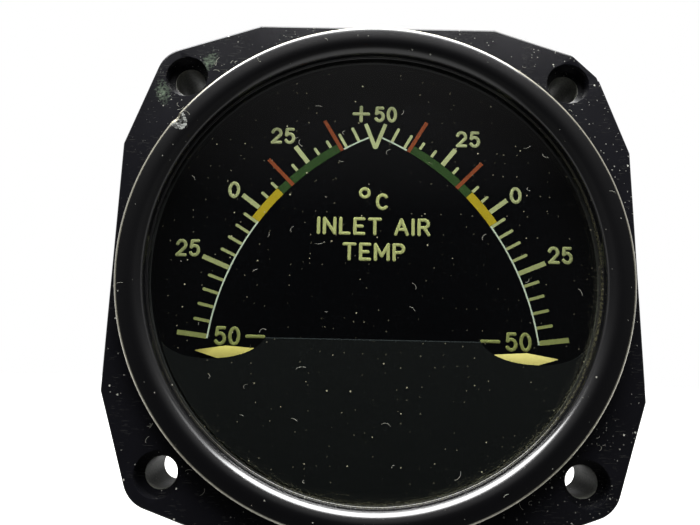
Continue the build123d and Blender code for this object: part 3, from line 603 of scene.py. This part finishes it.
# dead black swallows the light, and the bands have dulled with age, so the pointers stand out
black = dull_finish("paint_dial_matt_black", "#040405", "#060607", 0.9, 0.2, 0.0)
grey = dull_finish("paint_arc_grey", "#ABB2A2", "#98A08E", 0.8, 0.25, 0.05)
red = dull_finish("paint_red", "#783C23", "#66321D", 0.9, 0.25, 0.02)
green = dull_finish("paint_green", "#2A3E1F", "#213318", 0.9, 0.25, 0.02)
yellow = dull_finish("paint_yellow", "#98831E", "#867319", 0.9, 0.25, 0.02)
finish(black, "dial_plate", "dial_spacer", "mask_pillars")
finish(grey, "scale_arcs")
finish(red, "red_marks")
finish(green, "green_bands")
finish(yellow, "yellow_bands")
print("paints on the dial:", black.name, grey.name, red.name, green.name, yellow.name)

# %% [markdown]
# ### Luminous paint
# The scale marks and the words are luminous paint gone yellow-green, as chalky as plaster. Its
# colour is painted darker towards the bottom of the dial, as painted shade for the light that falls
# off there. Each mark could have a shade of its own, but the change is gradual, so the colour
# follows the height, with a darker mottle over it.

# %% Luminous paint
LUME_SHADE_FROM = -12
LUME_SHADE_TO = 22


def luminous_paint(name, bottom, top):
    material, tree, shader, place = start_material(name, 0.8)
    mottle = add(tree, "TexNoise", {"Vector": place, "Scale": every(0.3), "Detail": 3.0})["Fac"]
    stain = add(tree, "Math", [mottle, 0.22], operation="MULTIPLY")[0]
    up = add(tree, "SeparateXYZ", [place])["Z"]
    # painted shade: the colour darkens towards the bottom of the dial, with the height
    height = add(tree, "MapRange", [up, LUME_SHADE_FROM * MM, LUME_SHADE_TO * MM, 0.0, 1.0])[0]
    base = layered(tree, bottom, [(height, top), (stain, "#5A6032")])
    dress(tree, shader, base, mottle, 0.01, 0.5)
    shader.inputs["Specular IOR Level"].default_value = 0.08
    return material


# aged yellow-green paint, painted darker towards the bottom as shade
lume = luminous_paint("paint_luminous_aged_and_shaded", "#6E7041", "#9C9D74")
# the words take a lighter copy of the same paint: painted light, for the brighter light in the
# middle of the dial
lit_legend_lume = luminous_paint("paint_luminous_legend_lit", "#8E8E5C", "#9A9A66")
finish(lume, "scale_ticks")
print("luminous paints:", lume.name, lit_legend_lume.name)

# %% [markdown]
# ### The mask
# A black plate hides the pivots. Its top edge catches a thin line of light, and that line is what
# shows where the plate ends. The line is a painted highlight, a paler band of the paint. A strip of
# its own could stand for it, but it is a change of the paint only, so it is a mask at the plate's
# top.

# %% Paint on the mask
# width of the painted highlight along the top of the plate
LIT_EDGE_LINE = 0.14
MASK_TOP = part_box("dial_mask")[1][2]


def mask_paint():
    material, tree, shader, place = start_material("paint_mask_matt_black", 0.8)
    mottle = add(tree, "TexNoise", {"Vector": place, "Scale": every(0.25), "Detail": 3.0})["Fac"]
    up = add(tree, "SeparateXYZ", [place])["Z"]
    # painted highlight: a paler band along the plate's top, for the light its edge catches
    edge = add(tree, "Math", [up, MASK_TOP - LIT_EDGE_LINE * MM], operation="GREATER_THAN")[0]
    base = layered(tree, "#0B0C0C", [(mottle, "#0F1010"), (edge, "#2C2F30")])
    dress(tree, shader, base, mottle, 0.01, 0.5)
    shader.inputs["Specular IOR Level"].default_value = 0.04
    return material


finish(mask_paint(), "dial_mask")
print("top of the mask in mm:", round(MASK_TOP / MM, 2))

# %% [markdown]
# ### The pointers
# Each pointer is thin aluminium under yellow paint. Its colour is browner towards the tip and along
# its lower edge, as painted shade where the ring and the mask keep light off the blade. The two
# differ a little in shade, so one function makes both from two colours and the stretch over which
# the tip darkens.

# %% Paint on the pointers
BLADE_SHADE_FROM = -12.5
BLADE_SHADE_FULL = -14.0


def pointer_paint(name, colour, shade_and_mottle, shade_from, shade_to):
    material, tree, shader, place = start_material(name, 0.8)
    axes = add(tree, "SeparateXYZ", [place])
    out = add(tree, "Math", [axes["X"]], operation="ABSOLUTE")[0]
    # painted shade: the blade darkens towards its tip, and along its lower edge below
    tip = add(tree, "MapRange", [out, shade_from * MM, shade_to * MM, 0.0, 1.0])[0]
    low = add(tree, "MapRange", [axes["Z"], BLADE_SHADE_FROM * MM, BLADE_SHADE_FULL * MM,
                                 0.0, 0.45])[0]
    painted_shade = add(tree, "Math", [tip, low], operation="MAXIMUM")[0]
    mottle = add(tree, "TexNoise", {"Vector": place, "Scale": every(0.5), "Detail": 3.0})["Fac"]
    mottle = add(tree, "Math", [mottle, 0.15], operation="MULTIPLY")[0]
    dress(tree, shader, layered(tree, colour, [(painted_shade, shade_and_mottle), (mottle, shade_and_mottle)]))
    shader.inputs["Specular IOR Level"].default_value = 0.1
    return material


# the second colour is painted shade at the tip and lower edge, and also the paint's mottle
deep_yellow = pointer_paint("paint_pointer_yellow", "#D2C36C", "#5E5326", 24, 29)
# painted light: the right pointer takes a paler copy of the same paint, for the extra light it
# catches
lit_yellow = pointer_paint("paint_pointer_yellow_lit", "#ECDC86", "#7A6C38", 26, 31)
finish(deep_yellow, "left_pointer")
finish(lit_yellow, "right_pointer")
print("pointer paints:", deep_yellow.name, lit_yellow.name)

# %% [markdown]
# ## The figures
# Instrument figures were cut with an engraving template: a stroke of even width with round ends.
# A text object's letters are filled outlines, so each figure is drawn as a few lines instead, on
# a grid one unit tall, and is kept with its width.

# %% Lines of each figure
def arc(cx, cy, rx, ry, start, end, steps=14):
    points = []
    for i in range(steps + 1):
        a = math.radians(start + (end - start) * i / steps)
        points.append((cx + rx * math.cos(a), cy + ry * math.sin(a)))
    return points


STEM_AND_BOWL = ([(0.0, 0.0), (0.0, 1.0), (0.32, 1.0)]
                 + arc(0.32, 0.74, 0.28, 0.26, 90, -90) + [(0.0, 0.48)])
FIVE = [(0.55, 1.0), (0.10, 1.0), (0.05, 0.56)] + arc(0.29, 0.33, 0.31, 0.33, 128, -150)
FIGURES = {
    "0": (0.60, [arc(0.30, 0.5, 0.30, 0.5, 90, 450, 28)]),
    "2": (0.62, [arc(0.31, 0.70, 0.31, 0.30, 165, -32) + [(0.0, 0.0), (0.62, 0.0)]]),
    "5": (0.60, [FIVE]),
    "+": (1.04, [[(0.0, 0.5), (1.04, 0.5)], [(0.52, -0.02), (0.52, 1.02)]]),
    "-": (1.06, [[(0.0, 0.5), (1.06, 0.5)]]),
    "A": (0.74, [[(0.0, 0.0), (0.37, 1.0)], [(0.37, 1.0), (0.74, 0.0)],
                 [(0.13, 0.33), (0.61, 0.33)]]),
    "C": (0.66, [arc(0.36, 0.5, 0.36, 0.5, 48, 312)]),
    "E": (0.56, [[(0.56, 1.0), (0.0, 1.0), (0.0, 0.0), (0.56, 0.0)], [(0.0, 0.5), (0.46, 0.5)]]),
    "I": (0.0, [[(0.0, 0.0), (0.0, 1.0)]]),
    "L": (0.54, [[(0.0, 1.0), (0.0, 0.0), (0.54, 0.0)]]),
    "M": (0.80, [[(0.0, 0.0), (0.0, 1.0), (0.40, 0.25), (0.80, 1.0), (0.80, 0.0)]]),
    "N": (0.66, [[(0.0, 0.0), (0.0, 1.0), (0.66, 0.0), (0.66, 1.0)]]),
    "P": (0.60, [STEM_AND_BOWL]),
    "R": (0.60, [STEM_AND_BOWL, [(0.32, 0.48), (0.62, 0.0)]]),
    "T": (0.68, [[(0.0, 1.0), (0.68, 1.0)], [(0.34, 1.0), (0.34, 0.0)]]),
}
print("figures and letters:", " ".join(FIGURES))

# %% [markdown]
# ### Strokes of thick paint
# A line becomes a round tube, run by run, with a ball at each end and corner. Pressed flat on the
# dial, that leaves the soft raised edge that thick paint has, which an extruded flat shape with
# its upright sides would not.

# %% Drawing the strokes
STROKE = 0.57
LETTER_GAP = 0.36
WORD_GAP = 0.62
DIAL_FACE = 4.0
SUNK = 0.01
FLATTENED = 0.24


def draw(name, lines, stroke_mm):
    radius = stroke_mm / 2 * MM
    curve = bpy.data.curves.new(name, "CURVE")
    curve.dimensions = "3D"
    curve.bevel_depth = radius
    curve.bevel_resolution = 3
    for line in lines:
        for run in zip(line, line[1:]):
            spline = curve.splines.new("POLY")
            spline.points.add(1)
            for point, (x, z) in zip(spline.points, run):
                point.co = (x * MM, 0, z * MM, 1)
    tube = bpy.data.objects.new(name, curve)
    bpy.context.collection.objects.link(tube)
    balls = []
    for x, z in [point for line in lines for point in line]:
        bpy.ops.mesh.primitive_uv_sphere_add(segments=16, ring_count=8, radius=radius,
                                             location=(x * MM, 0, z * MM))
        balls.append(bpy.context.object)
    select(tube)
    bpy.ops.object.convert(target="MESH")
    for ball in balls:
        ball.select_set(True)
    bpy.ops.object.join()
    return bpy.context.object


def press_on_dial(piece, x, z, paint):
    piece.location = (x * MM, (DIAL_FACE - SUNK) * MM, z * MM)
    piece.scale = (1, FLATTENED, 1)
    select(piece)
    bpy.ops.object.transform_apply(location=True, rotation=True, scale=True)
    bpy.ops.object.shade_smooth()
    finish(paint, piece)
    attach(piece, "instrument")


print("height of the paint in mm:", round(STROKE / 2 * FLATTENED - SUNK, 3))


# %% Setting a word
def word_lines(word, height):
    lines = []
    x = 0.0
    for letter in word:
        if letter == " ":
            x += WORD_GAP * height
            continue
        width, strokes = FIGURES[letter]
        for stroke in strokes:
            lines.append([(x + px * height, pz * height) for px, pz in stroke])
        x += width * height + LETTER_GAP + STROKE
    return lines, x - LETTER_GAP - STROKE


def letter_dial(name, word, x, z, height, width=None, paint=lume):
    # x and z are the middle of the word, and height and width its size over the strokes, in mm
    inner = height - STROKE
    lines, length = word_lines(word, inner)
    squeeze = (width - STROKE) / length if width else 1.0
    lines = [[(px * squeeze - length * squeeze / 2, pz - inner / 2) for px, pz in line]
             for line in lines]
    press_on_dial(draw(name, lines, STROKE), x, z, paint)


# %% [markdown]
# ### What stands on the dial
# The scale figures stand beside the ticks at each 25 degrees, alike on both sides, so one loop
# writes both. The words in the middle say only what kind of quantity is shown.

# %% Writing the dial
letter_dial("figure_plus", "+", -2.49, 27.18, 2.95)
letter_dial("figure_50_top", "50", 1.67, 27.17, 2.88, 3.90)
for side, label in ((-1, "left"), (1, "right")):
    letter_dial("figure_25_high_" + label, "25", side * 15.6, 22.98, 2.92, 4.12)
    letter_dial("figure_0_" + label, "0", side * 23.35, 13.32, 2.92, 2.02)
    letter_dial("figure_25_low_" + label, "25", side * 30.33, 3.33, 2.96, 4.05)
    letter_dial("figure_50_low_" + label, "50", side * 23.10, -10.82, 3.08, 4.22)
    letter_dial("figure_minus_" + label, "-", side * 18.65, -10.82, 3.06)
# the words in the middle take the lighter copy of the luminous paint, which is painted light
letter_dial("legend_unit", "C", 1.26, 11.77, 2.92, 2.15, lit_legend_lume)
letter_dial("legend_line_one", "INLET AIR", -0.13, 7.55, 3.03, 18.6, lit_legend_lume)
letter_dial("legend_line_two", "TEMP", -0.02, 3.28, 3.05, 10.3, lit_legend_lume)
degree_ring = draw("legend_degree", [arc(0, 0, 0.72, 0.72, 0, 360, 28)], 0.56)
press_on_dial(degree_ring, -1.64, 13.24, lit_legend_lume)

# %% [markdown]
# ## Lint
# Short fibres of lint cling to the glass, the ring and the flange. Each is an arc of a thread
# 0.05 mm thick, and a real thread catches light and casts a shadow as a painted one can't. They
# are laid out at random, with most of them on the glass. A fibre that would hang over a hole or
# past an edge is left out, and the number of tries has a limit, so the loop always ends.

# %% Laying fibres
THREAD = 0.052
CLEAR_OF_HOLE = 4.6
CORNER_REACH = 60.0
TRIES = 4000


def lies_on(x, z, inner, outer, square):
    far = math.hypot(x, z)
    near_hole = math.hypot(abs(x) - HOLE_AT, abs(z) - HOLE_AT) < CLEAR_OF_HOLE
    past_edge = abs(x) + abs(z) > CORNER_REACH if square else far > outer
    return far >= inner and not near_hole and not past_edge


def lay_fibres(name, count, y, inner, outer, square):
    curve = bpy.data.curves.new(name, "CURVE")
    curve.dimensions = "3D"
    curve.bevel_depth = THREAD / 2 * MM
    curve.bevel_resolution = 1
    laid = 0
    for attempt in range(TRIES):
        x = random.uniform(-outer, outer)
        z = random.uniform(-outer, outer)
        if laid == count or not lies_on(x, z, inner, outer, square):
            continue
        bend = random.uniform(0.25, 1.2)
        start = random.uniform(0, 360)
        squash = random.uniform(0.5, 1.0)
        sweep = random.uniform(45, 110) / bend ** 0.5
        points = arc(x, z, bend, bend * squash, start, start + sweep, 7)
        spline = curve.splines.new("POLY")
        spline.points.add(len(points) - 1)
        for point, (px, pz) in zip(spline.points, points):
            point.co = (px * MM, y * MM, pz * MM, 1)
        laid += 1
    thread = bpy.data.objects.new(name, curve)
    bpy.context.collection.objects.link(thread)
    select(thread)
    bpy.ops.object.convert(target="MESH")
    bpy.ops.object.shade_smooth()
    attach(thread, "instrument")
    return thread


# %% Lint on the front
# cotton lint: a dull warm grey, so that it reads as thread and not as a scratch
lint = dull_finish("cotton_lint_grey", "#8E8E84", "#77776E", 0.9, 0.2, 0.1)
on_glass = lay_fibres("lint_on_glass", 34, 0.32, 4.0, 34.0, False)
on_ring = lay_fibres("lint_on_ring", 7, -2.38, 37.6, 38.9, False)
on_flange = lay_fibres("lint_on_flange", 22, -0.02, 40.4, 34.6, True)
finish(lint, on_glass, on_ring, on_flange)
print("lint:", on_glass.name, on_ring.name, on_flange.name)

# %% [markdown]
# ## Metals behind and inside
# Drawn bar has faint lines along its length, a ground face has close lines across it, and a
# winding shows its turns. All are one pattern here: a noise stretched or squeezed along Y, which
# is the axis of most of these parts. It shifts the colour, the roughness and the relief together.
# The real lines are finer, and are drawn at a few tenths of a millimetre so that they show.

# %% A metal finish
def metal(name, colour, second, roughness, grain_mm, stretch=1.0, depth_mm=0.004):
    material, tree, shader, place = start_material(name, metallic=1.0)
    drawn = add(tree, "Mapping", {"Vector": place, "Scale": (1.0, stretch, 1.0)})[0]
    grain = add(tree, "TexNoise", {"Vector": drawn, "Scale": every(grain_mm),
                                   "Detail": 4.0})["Fac"]
    dress(tree, shader, layered(tree, colour, [(grain, second)]), grain, depth_mm, 0.6)
    spread = add(tree, "Math", [grain, 0.2, roughness - 0.1], operation="MULTIPLY_ADD")[0]
    tree.links.new(spread, shader.inputs["Roughness"])
    return material


# %% Turned and blackened parts
# brass turned from bar: warm and bright, with the bar's faint lines along it
finish(metal("brass_turned", "#B08A48", "#9A7638", 0.32, 0.3, 0.15),
       "mask_nuts", "dial_posts", "core_supports", "front_bushes", "rear_bushes",
       "plate_pillars", "yoke_posts", "spring_studs", "stop_pins", "rear_posts",
       "left_balance", "right_balance")
# steel turned from bar: the same lines on a cool grey
finish(metal("steel_turned_bright", "#9A9A9C", "#86868A", 0.3, 0.3, 0.15),
       "dial_screws", "yoke_screws", "pillar_nuts", "rear_nuts", "resistor_screws",
       "terminal_screws", "left_front_spindle", "left_rear_spindle",
       "right_front_spindle", "right_rear_spindle", "magnet_yokes")
# blackened steel: a near-black that still glints on its edges
finish(metal("steel_blackened", "#2A2A2B", "#1E1E1F", 0.45, 0.3),
       "case_screws", "receptacle_screws")
# ground magnet alloy: a dark grey with close lines from the wheel
finish(metal("magnet_alloy_ground", "#6F6F70", "#5E5E60", 0.4, 0.25, 4.0), "core_magnets")
print("nodes with a finish:", sum(bool(n.data.materials) for n in nodes.values()))

# %% Sheet, wire and plated parts
# rolled aluminium sheet: pale, softly bright and faintly clouded
finish(metal("aluminium_sheet_rolled", "#B9BABB", "#A9ABAD", 0.38, 0.5),
       "front_plate", "base_plate", "left_coil_former", "right_coil_former")
# enamelled copper wire: red-brown, with the ridges of its turns
finish(metal("copper_wire_enamelled", "#8C4A28", "#6E371C", 0.35, 0.12, 8.0, 0.02),
       "left_coil_winding", "right_coil_winding", "resistor_windings")
# bronze strip: a duller gold than brass
finish(metal("bronze_spring_strip", "#A6884E", "#8E723E", 0.3, 0.4),
       "left_front_hairspring", "left_rear_hairspring",
       "right_front_hairspring", "right_rear_hairspring")
# tinned copper: grey-white and slightly clouded
finish(metal("copper_tinned", "#B4B4B0", "#9E9E9A", 0.4, 0.4), "terminal_lugs")
# olive plating on aluminium: a dull green-grey metal
finish(metal("aluminium_plated_olive", "#6C6C60", "#5C5C50", 0.45, 0.5), "receptacle_shell")
# silver over brass: pale with a warm cast
finish(metal("brass_silver_plated", "#C2BA9A", "#A8A082", 0.3, 0.3), "contacts")
print("nodes with a finish:", sum(bool(n.data.materials) for n in nodes.values()))

# %% [markdown]
# ## Plastics, cotton and rubber
# These are dull and slightly uneven, as the dial's paints are. A weave or a grain could be drawn
# for each, but they lie inside or behind, so they take the same finish with a little more shine.

# %% Insulating parts
# resin-bonded paper: brown with a slight sheen; waxed cotton: a dull, yellowed white
brown = dull_finish("phenolic_paper_brown", "#4A2B16", "#5A361D", 0.5, 0.5, 0.25)
cotton = dull_finish("sleeving_waxed_cotton", "#9C9682", "#857F6C", 0.8, 0.2, 0.25)
# moulded phenolic shines a little more than the rubber sheet, which is nearly dead black
insert = dull_finish("phenolic_insert_black", "#17171A", "#1F1F22", 0.5, 0.4, 0.25)
rubber = dull_finish("rubber_sheet_black", "#141414", "#1C1C1C", 0.85, 0.3, 0.25)
finish(brown, "resistor_bobbins", "terminal_strip")
finish(cotton, "lead_wires")
finish(insert, "receptacle_insert")
finish(rubber, "glass_gasket", "receptacle_gasket")
print("insulating finishes:", brown.name, cotton.name, insert.name, rubber.name)

# %% [markdown]
# ## Floor, light and surroundings
# The instrument was photographed on a bright white ground, with a broad light above it and a dark
# room behind the camera. The floor is a pale sheet just under the flange. It glows a little for
# the camera and for reflections, so it shows white and still takes the object's shadow, and no
# extra light falls on the object for it.

# %% Floor
FLOOR_AT = -0.04095

deselect()
bpy.ops.mesh.primitive_plane_add(size=3.0, location=(0, 1.5, FLOOR_AT))
floor = bpy.context.object
floor.name = "pale_floor"
sheet, tree, shader, place = start_material("paper_white", 0.9)
shader.inputs["Base Color"].default_value = linear("#E9E9E6")
path = add(tree, "LightPath")
shown = 0.0
for ray in ("Is Camera Ray", "Is Glossy Ray", "Is Transmission Ray"):
    shown = add(tree, "Math", [shown, path[ray]], operation="MAXIMUM")[0]
dark = add(tree, "Emission", {"Color": (0, 0, 0, 1), "Strength": 0.0})[0]
glow = add(tree, "Emission", {"Color": (1, 1, 1, 1), "Strength": 0.9})[0]
seen = add(tree, "MixShader", [shown, dark, glow])[0]
both = add(tree, "AddShader", [seen, shader.outputs[0]])[0]
tree.links.new(both, tree.nodes["Material Output"].inputs["Surface"])
finish(sheet, floor)
print("floor at, in mm:", FLOOR_AT / MM)

# %% [markdown]
# The world is white beside and behind the object, and dim in front of it. Black enamel and glass
# are little more than what they mirror, so these bands draw the ring's highlights: white below
# for the bright roll at the bottom, a soft light from above, and a faint one all round but
# straight ahead. Each fades from dim to its strength between two values of the direction's Y or
# Z. A picture of a room could do this too, but would be harder to match band by band. To the
# camera the ground is white from every side.

# %% World
DIM = 0.01
BESIDE_AND_BEHIND = ("Y", -0.35, 0.0, 1.0)
BELOW = ("Z", -0.55, -0.80, 0.8)
ALL_BUT_AHEAD = ("Y", -0.985, -0.84, 0.08)
ABOVE = ("Z", 0.25, 0.50, 0.30)
BANDS = [BESIDE_AND_BEHIND, BELOW, ALL_BUT_AHEAD, ABOVE]

world = bpy.data.worlds.new("white_surroundings")
bpy.context.scene.world = world
world.use_nodes = True
tree = world.node_tree
tree.nodes.clear()
axes = add(tree, "SeparateXYZ", [add(tree, "TexCoord")["Generated"]])
level = DIM
for axis, start, full, strength in BANDS:
    band = add(tree, "MapRange", [axes[axis], start, full, DIM, strength])[0]
    level = add(tree, "Math", [level, band], operation="MAXIMUM")[0]
path = add(tree, "LightPath")
for ray in ("Is Camera Ray", "Is Transmission Ray"):
    level = add(tree, "Math", [level, path[ray]], operation="MAXIMUM")[0]
sky = add(tree, "Background", {"Color": (1, 1, 1, 1), "Strength": level})[0]
add(tree, "OutputWorld", [sky])
print("bands of light around the object:", len(BANDS))

# %% [markdown]
# One broad lamp hangs above and in front, as a window would. A faint one beside it fills the
# dial. Both stay high enough that the glass doesn't mirror them towards the camera.

# %% Lamps
def lamp(name, place, size, watts):
    deselect()
    bpy.ops.object.light_add(type="AREA", location=place)
    light = bpy.context.object
    light.name = name
    light.data.shape = "RECTANGLE"
    light.data.size, light.data.size_y = size
    light.data.energy = watts
    towards_dial = -Vector(place)
    light.rotation_euler = towards_dial.to_track_quat("-Z", "Y").to_euler()


lamp("window_above", (-0.012, -0.080, 0.192), (0.25, 0.145), 2.3)
lamp("soft_fill", (0.0, -0.135, 0.18), (0.34, 0.08), 0.18)
